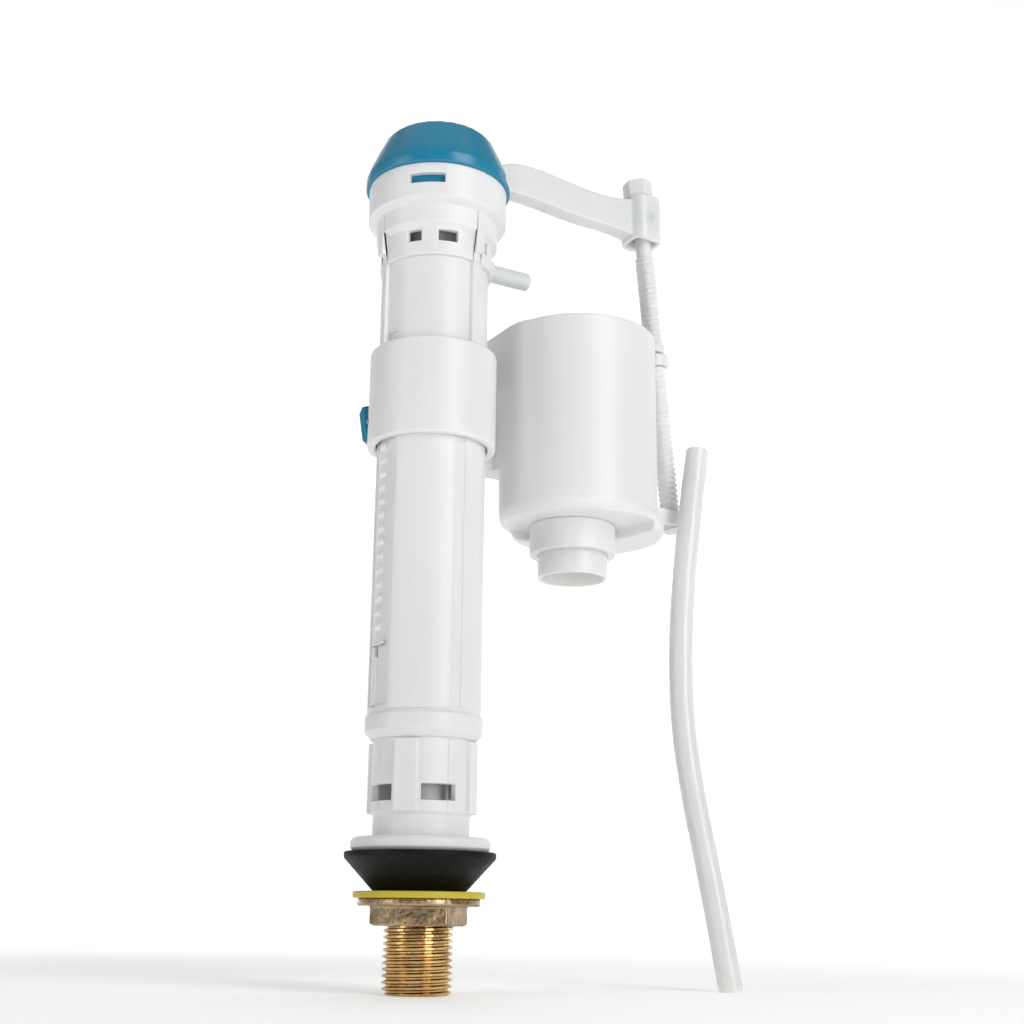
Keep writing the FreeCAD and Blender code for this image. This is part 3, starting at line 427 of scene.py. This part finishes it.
# ---------------------------------------------------------------- threads
def thread_profile(core, crest, pitch):
    """One turn's (radius, height) points: root, flank, crest and flank, with cut corners."""
    flank = (1 - CREST_SHARE - ROOT_SHARE) / 2
    crest_start = ROOT_SHARE + flank
    crest_end = crest_start + CREST_SHARE
    drop = (crest - core) * CORNER_DROP
    return [
        (core, 0.0),
        (core, ROOT_SHARE * pitch),
        (core + drop, (ROOT_SHARE + CORNER_SHARE) * pitch),
        (crest - drop, (crest_start - CORNER_SHARE) * pitch),
        (crest, crest_start * pitch),
        (crest, crest_end * pitch),
        (crest - drop, (crest_end + CORNER_SHARE) * pitch),
        (core + drop, (1 - CORNER_SHARE) * pitch),
    ]


def threaded_points(below, core, crest, pitch, low, high, above, steps, lead_in):
    """Grid of a right-handed screw thread between two plain (radius, height) outlines."""
    profile = thread_profile(core, crest, pitch)
    turns = int((high - low) / pitch) + 3
    points = []
    for step in range(steps + 1):
        angle = 2 * math.pi * step / steps
        column = list(below)
        for turn in range(-1, turns):
            for radius, height in profile:
                z = low + (turn + step / steps) * pitch + height
                z_kept = min(max(z, low), high)
                edge = min(z_kept - low, high - z_kept)
                column.append((min(radius, core + edge * lead_in), z_kept))
        column += above
        points += [(r * math.cos(angle), r * math.sin(angle), z) for r, z in column]
    rows = len(points) // (steps + 1)
    faces = []
    for step in range(steps):
        for row in range(rows - 1):
            a = step * rows + row
            faces.append((a, a + rows, a + rows + 1, a + 1))
    return points, faces


def tail_mesh():
    """Brass tail: bore, thread, plain neck and head."""
    below = [(TAIL_BORE_R, TAIL_HEAD_TOP), (TAIL_BORE_R, TAIL_BORE_MID), (TAIL_BORE_R, TAIL_BORE_CHAMFER),
             (TAIL_BORE_R + TAIL_BORE_CHAMFER, 0.0)]
    above = [(TAIL_ROOT_R, TAIL_THREAD_TOP), (TAIL_NECK_R, TAIL_THREAD_TOP), (TAIL_NECK_R, TAIL_HEAD_LOW),
             (TAIL_HEAD_R, TAIL_HEAD_LOW), (TAIL_HEAD_R, TAIL_HEAD_TOP), (TAIL_BORE_R, TAIL_HEAD_TOP)]
    points, faces = threaded_points(below, TAIL_ROOT_R, TAIL_CREST_R, TAIL_PITCH, 0.0, TAIL_THREAD_TOP, above,
                                    TAIL_TURN_STEPS, TAIL_LEAD_IN)
    return clean_mesh("tail_shank_skin", [Vector(p) * MM for p in points], faces, flatten=0)


def rod_mesh():
    """Plastic rod: blunt lower end, thread with a flat strip along one side, plain neck."""
    thread_low = ROD_LOW + ROD_TIP_LENGTH
    below = [(0.0, ROD_LOW), (ROD_CORE_R - ROD_TIP_TAPER, ROD_LOW), (ROD_CORE_R, thread_low)]
    above = [(ROD_CORE_R, ROD_THREAD_TOP), (ROD_CORE_R, ROD_NECK_TOP), (0.0, ROD_NECK_TOP)]
    points, faces = threaded_points(below, ROD_CORE_R, ROD_CREST_R, ROD_PITCH, thread_low, ROD_THREAD_TOP,
                                    above, ROD_TURN_STEPS, ROD_LEAD_IN)
    side = Vector((*ROD_FLAT_SIDE, 0.0)).normalized()
    place = rod_placement()
    flattened = []
    for point in points:
        p = Vector(point)
        over = p.dot(side) - ROD_FLAT
        if over > 0:
            p -= side * over
        flattened.append(place @ (p * MM))
    return clean_mesh("adjusting_rod_skin", flattened, faces, flatten=0)


def rod_placement():
    return Matrix.Translation(Vector(ROD_TOP) * MM) @ Matrix.Rotation(-ROD_LEAN, 4, "Y")


def smooth_piece(name, mesh, crease):
    """Smooth shading, sharp only where faces meet at more than the crease angle."""
    made = add_object(name, mesh)
    mesh.shade_smooth()
    mesh.set_sharp_from_angle(angle=math.radians(crease))
    return made


# ---------------------------------------------------------------- hose
def hose_line():
    """Points of the smooth spline through the hose's route."""
    curve = bpy.data.curves.new("hose_route", "CURVE")
    curve.dimensions = "3D"
    curve.resolution_u = HOSE_RESOLUTION
    spline = curve.splines.new("NURBS")
    spline.points.add(len(HOSE_ROUTE) - 1)
    for target, point in zip(spline.points, HOSE_ROUTE):
        target.co = (*(Vector(point) * MM), 1.0)
    spline.order_u = 3
    spline.use_endpoint_u = True
    guide = bpy.data.objects.new("hose_route", curve)
    bpy.context.scene.collection.objects.link(guide)
    bpy.context.view_layer.update()
    mesh = bpy.data.meshes.new_from_object(guide)
    line = [v.co.copy() for v in mesh.vertices]
    bpy.data.objects.remove(guide)
    bpy.data.meshes.remove(mesh)
    return line


def hose_mesh(line):
    """Round tube with a bore; the lower end is cut level with the floor."""
    across = Vector((0.0, 1.0, 0.0))
    outer = []
    inner = []
    for k, centre in enumerate(line):
        ahead = line[min(k + 1, len(line) - 1)] - line[max(k - 1, 0)]
        ahead.normalize()
        side = across.cross(ahead).normalized()
        front = ahead.cross(side)
        for ring, radius in ((outer, HOSE_R), (inner, HOSE_BORE_R)):
            points = []
            for j in range(HOSE_SIDES):
                a = 2 * math.pi * j / HOSE_SIDES
                p = centre + (side * math.cos(a) + front * math.sin(a)) * radius * MM
                p.z = max(p.z, 0.0)
                points.append(p)
            ring.append(points)
    lip = [line[0].lerp(p, 1 - HOSE_LIP / HOSE_R) for p in outer[0]]
    rings = [lip] + outer + inner[::-1]
    points = [p for ring in rings for p in ring]
    faces = []
    for k in range(len(rings)):
        here = k * HOSE_SIDES
        after = (k + 1) % len(rings) * HOSE_SIDES
        for j in range(HOSE_SIDES):
            beside = (j + 1) % HOSE_SIDES
            faces.append((here + j, here + beside, after + beside, after + j))
    return clean_mesh("refill_hose_skin", points, faces, HOSE_WELD, 0)


# ---------------------------------------------------------------- pieces
def rough_casting(obj):
    """Sand-cast surface: a dense skin pushed in and out by about a tenth of a millimetre."""
    remesh = obj.modifiers.new("skin", "REMESH")
    remesh.mode = "VOXEL"
    remesh.voxel_size = CASTING_GRAIN * MM
    remesh.use_smooth_shade = True
    for size, strength in CASTING_LAYERS:
        texture = bpy.data.textures.new(f"casting_{size}", "CLOUDS")
        texture.noise_scale = size * MM
        displace = obj.modifiers.new(f"casting_{size}", "DISPLACE")
        displace.texture = texture
        displace.texture_coords = "LOCAL"
        displace.strength = strength * MM
        displace.mid_level = 0.5


def make_pieces(materials):
    """Every CAD node gets a detailed piece in its place."""
    for node in frame["nodes"]:
        if node == "tail_shank":
            made = smooth_piece(node + "_skin", tail_mesh(), THREAD_CREASE)
        elif node == "adjusting_rod":
            made = smooth_piece(node + "_skin", rod_mesh(), THREAD_CREASE)
        elif node == "refill_hose":
            line = hose_line()
            made = smooth_piece(node + "_skin", hose_mesh(line), HOSE_CREASE)
        elif node in MOULDED:
            made = moulded(node, *MOULDED[node])
        else:
            made = softened(node, EDGE_WIDTH.get(node, PLAIN_EDGE))
            if node == "back_nut":
                rough_casting(made)
        settle(made, node, materials)


# ---------------------------------------------------------------- stage, light and camera
def make_stage():
    """Pale floor that curves up into a backdrop behind the valve."""
    outline = [(STAGE_FRONT, 0.0)]
    for k in range(STAGE_BEND_STEPS + 1):
        a = math.pi / 2 * k / STAGE_BEND_STEPS
        outline.append((STAGE_BEND_START + STAGE_BEND_R * math.sin(a), STAGE_BEND_R * (1 - math.cos(a))))
    outline.append((STAGE_BEND_START + STAGE_BEND_R, STAGE_HEIGHT))
    heading = Matrix.Rotation(-math.radians(CAMERA_HEADING), 4, "Z")
    points = []
    for away, z in outline:
        for x in (-STAGE_HALF_WIDTH, STAGE_HALF_WIDTH):
            points.append(heading @ Vector((x, away, z)))
    faces = [(2 * k, 2 * k + 1, 2 * k + 3, 2 * k + 2) for k in range(len(outline) - 1)]
    floor = add_object("studio_floor", mesh_from("studio_floor", points, faces))
    floor.data.shade_smooth()
    floor.data.materials.append(stage_paper())


def stage_paper():
    """White paper that glows more the further it is from the valve."""
    made, shader = new_material("studio_white")
    tree = made.node_tree
    paper = add_noise(tree, PAPER, detail=3.0)
    add_tint(tree, shader, paper, [(0.3, (0.93, 0.93, 0.93)), (0.7, (0.95, 0.95, 0.95))])
    shader.inputs["Roughness"].default_value = 0.9
    shader.inputs["Emission Color"].default_value = (1.0, 1.0, 1.0, 1.0)
    place = tree.nodes.new("ShaderNodeTexCoord")
    reach = tree.nodes.new("ShaderNodeVectorMath")
    reach.operation = "LENGTH"
    tree.links.new(place.outputs["Object"], reach.inputs[0])
    glow = add_range(tree, reach.outputs["Value"], STAGE_GLOW_REACH, STAGE_GLOW, "SMOOTHSTEP")
    tree.links.new(glow, shader.inputs["Emission Strength"])
    return made


def add_light(name, place, size, power):
    data = bpy.data.lights.new(name, "AREA")
    data.shape = "RECTANGLE"
    data.size = size[0]
    data.size_y = size[1]
    data.energy = power
    lamp = bpy.data.objects.new(name, data)
    bpy.context.scene.collection.objects.link(lamp)
    lamp.location = place
    lamp.rotation_euler = (Vector(LIGHT_TARGET) - Vector(place)).to_track_quat("-Z", "Y").to_euler()


def make_room():
    """Grey room, darker in front of the valve (-Y) than behind it."""
    world = bpy.data.worlds.new("studio")
    world.use_nodes = True
    tree = world.node_tree
    background = tree.nodes["Background"]
    background.inputs["Color"].default_value = (1.0, 1.0, 1.0, 1.0)
    heading = tree.nodes.new("ShaderNodeTexCoord")
    parts = tree.nodes.new("ShaderNodeSeparateXYZ")
    tree.links.new(heading.outputs["Generated"], parts.inputs["Vector"])
    level = add_range(tree, parts.outputs["Y"], ROOM_TURN, ROOM_LEVEL)
    tree.links.new(level, background.inputs["Strength"])
    bpy.context.scene.world = world


def make_light():
    """Key strip to the camera's right, weaker strips at both sides, and a soft top."""
    make_room()
    for name, place, size, power in LIGHTS:
        add_light(name, place, size, power)
    bpy.context.scene.view_settings.view_transform = "Standard"


def make_camera():
    data = bpy.data.cameras.new("view")
    data.lens = CAMERA_LENS
    data.sensor_width = CAMERA_SENSOR
    data.clip_start = CAMERA_CLIP[0]
    data.clip_end = CAMERA_CLIP[1]
    camera = bpy.data.objects.new("view", data)
    bpy.context.scene.collection.objects.link(camera)
    turn = Matrix.Rotation(-math.radians(CAMERA_HEADING), 4, "Z")
    tip = Matrix.Rotation(math.radians(90 + CAMERA_PITCH), 4, "X")
    roll = Matrix.Rotation(math.radians(CAMERA_ROLL), 4, "Z")
    camera.matrix_world = Matrix.Translation(CAMERA_AT) @ turn @ tip @ roll
    bpy.context.scene.camera = camera


SLOT_OF = {part["node"]: part["material_slot"] for part in frame["record"]["subparts"]}
BODY_OF = {node: frame["nodes"][node]["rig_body"] for node in frame["nodes"]}

make_camera()
make_pieces(make_materials())
make_stage()
make_light()
